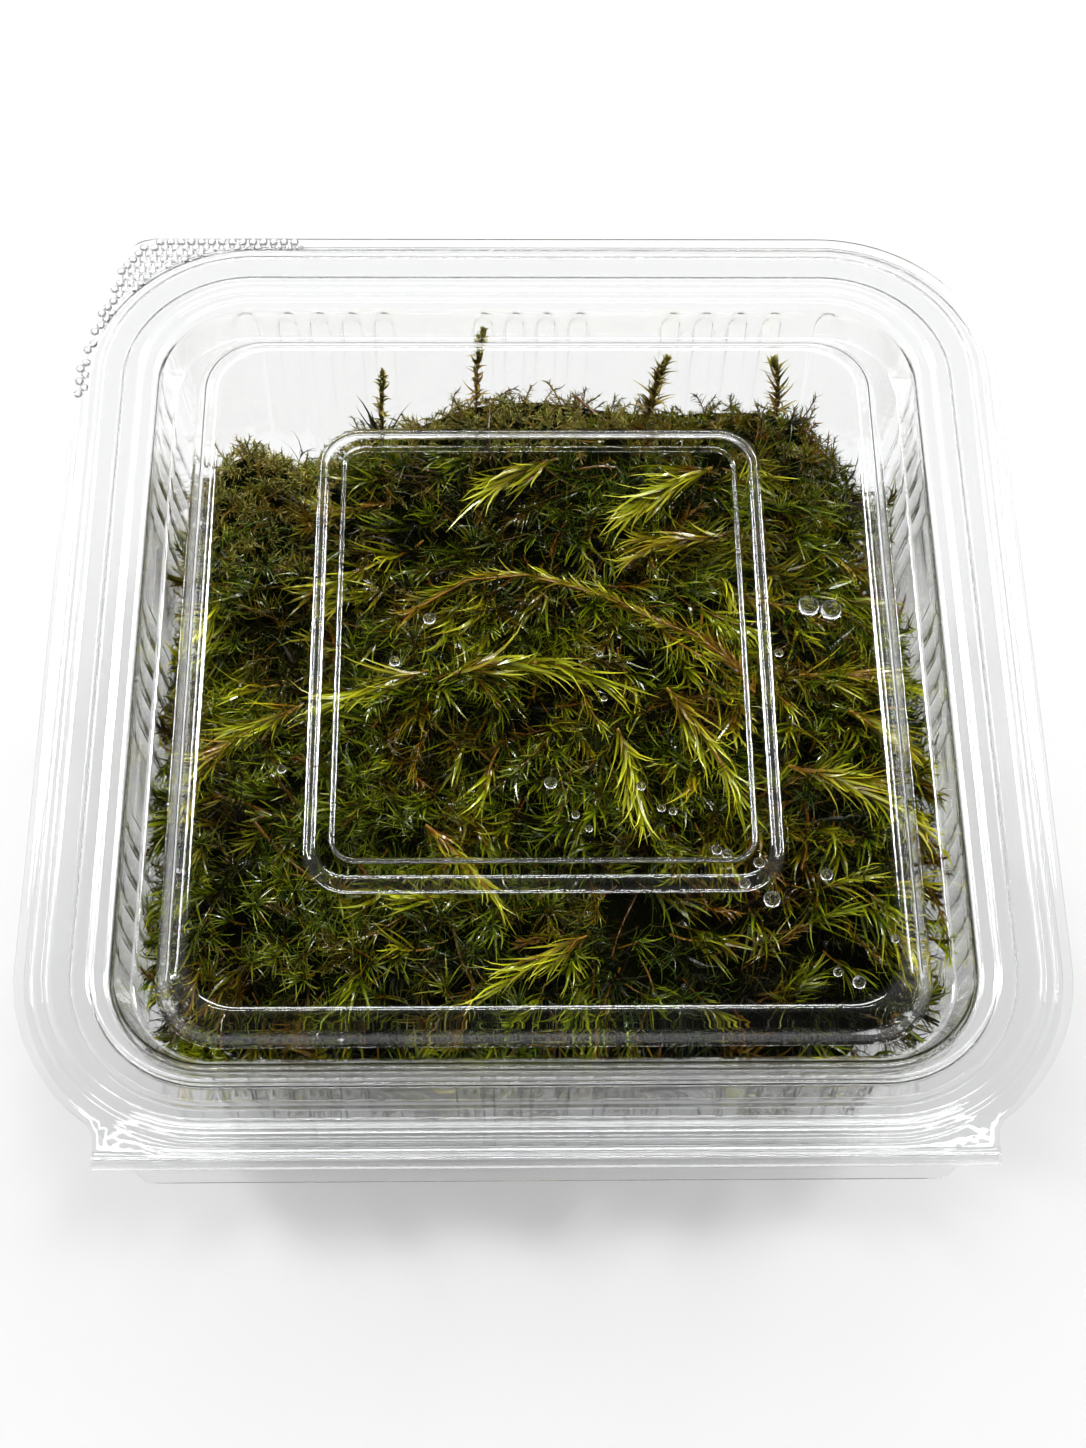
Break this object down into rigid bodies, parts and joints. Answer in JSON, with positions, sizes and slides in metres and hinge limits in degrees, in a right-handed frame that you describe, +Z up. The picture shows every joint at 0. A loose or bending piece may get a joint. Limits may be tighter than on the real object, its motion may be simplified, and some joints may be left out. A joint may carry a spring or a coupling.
{
  "type": "moss clump in a hinged box",
  "caption": "Clump of wet matted moss with loose shoots, packed in a clear shallow square box whose lid turns up on a fold along the front edge.",
  "frame": {"origin": "middle of the closed box's bounds, on its underside", "axes": "+Z up; +Y from the hinge fold to the back; +X to the right seen from the hinge side; the grip tab is at -X +Y"},
  "size_m": [0.1448, 0.1558, 0.046],
  "materials": {
    "clear_sheet": "clear, smooth formed sheet",
    "moss_green": "wet matted moss, deep green with brown stems",
    "shoot_green": "wet yellow-green moss shoots"
  },
  "bodies": {
    "tray_body": {"tray": "clear_sheet", "moss_mat": "moss_green", "strand_yellow_left": "shoot_green", "strand_green_left": "shoot_green", "strand_bright_middle": "shoot_green", "strand_brown_long": "shoot_green", "strand_green_middle": "shoot_green", "strand_green_right": "shoot_green", "strand_far_right": "shoot_green", "strand_upper_right": "shoot_green", "strand_edge_right": "shoot_green", "strand_front_left": "shoot_green", "strand_front_middle": "shoot_green", "strand_tuft_back": "shoot_green", "strand_tuft_right": "shoot_green", "strand_tuft_middle": "shoot_green", "sprig_tall": "shoot_green", "sprig_left": "shoot_green", "sprig_bushy": "shoot_green", "sprig_right": "shoot_green"},
    "lid_body": {"lid": "clear_sheet"}
  },
  "joints": [
    {"name": "lid_hinge", "type": "hinge", "parent": "tray_body", "child": "lid_body", "pos_m": [0, -0.0756, 0.04405], "axis": [1, 0, 0], "range_deg": [0, 180]}
  ]
}
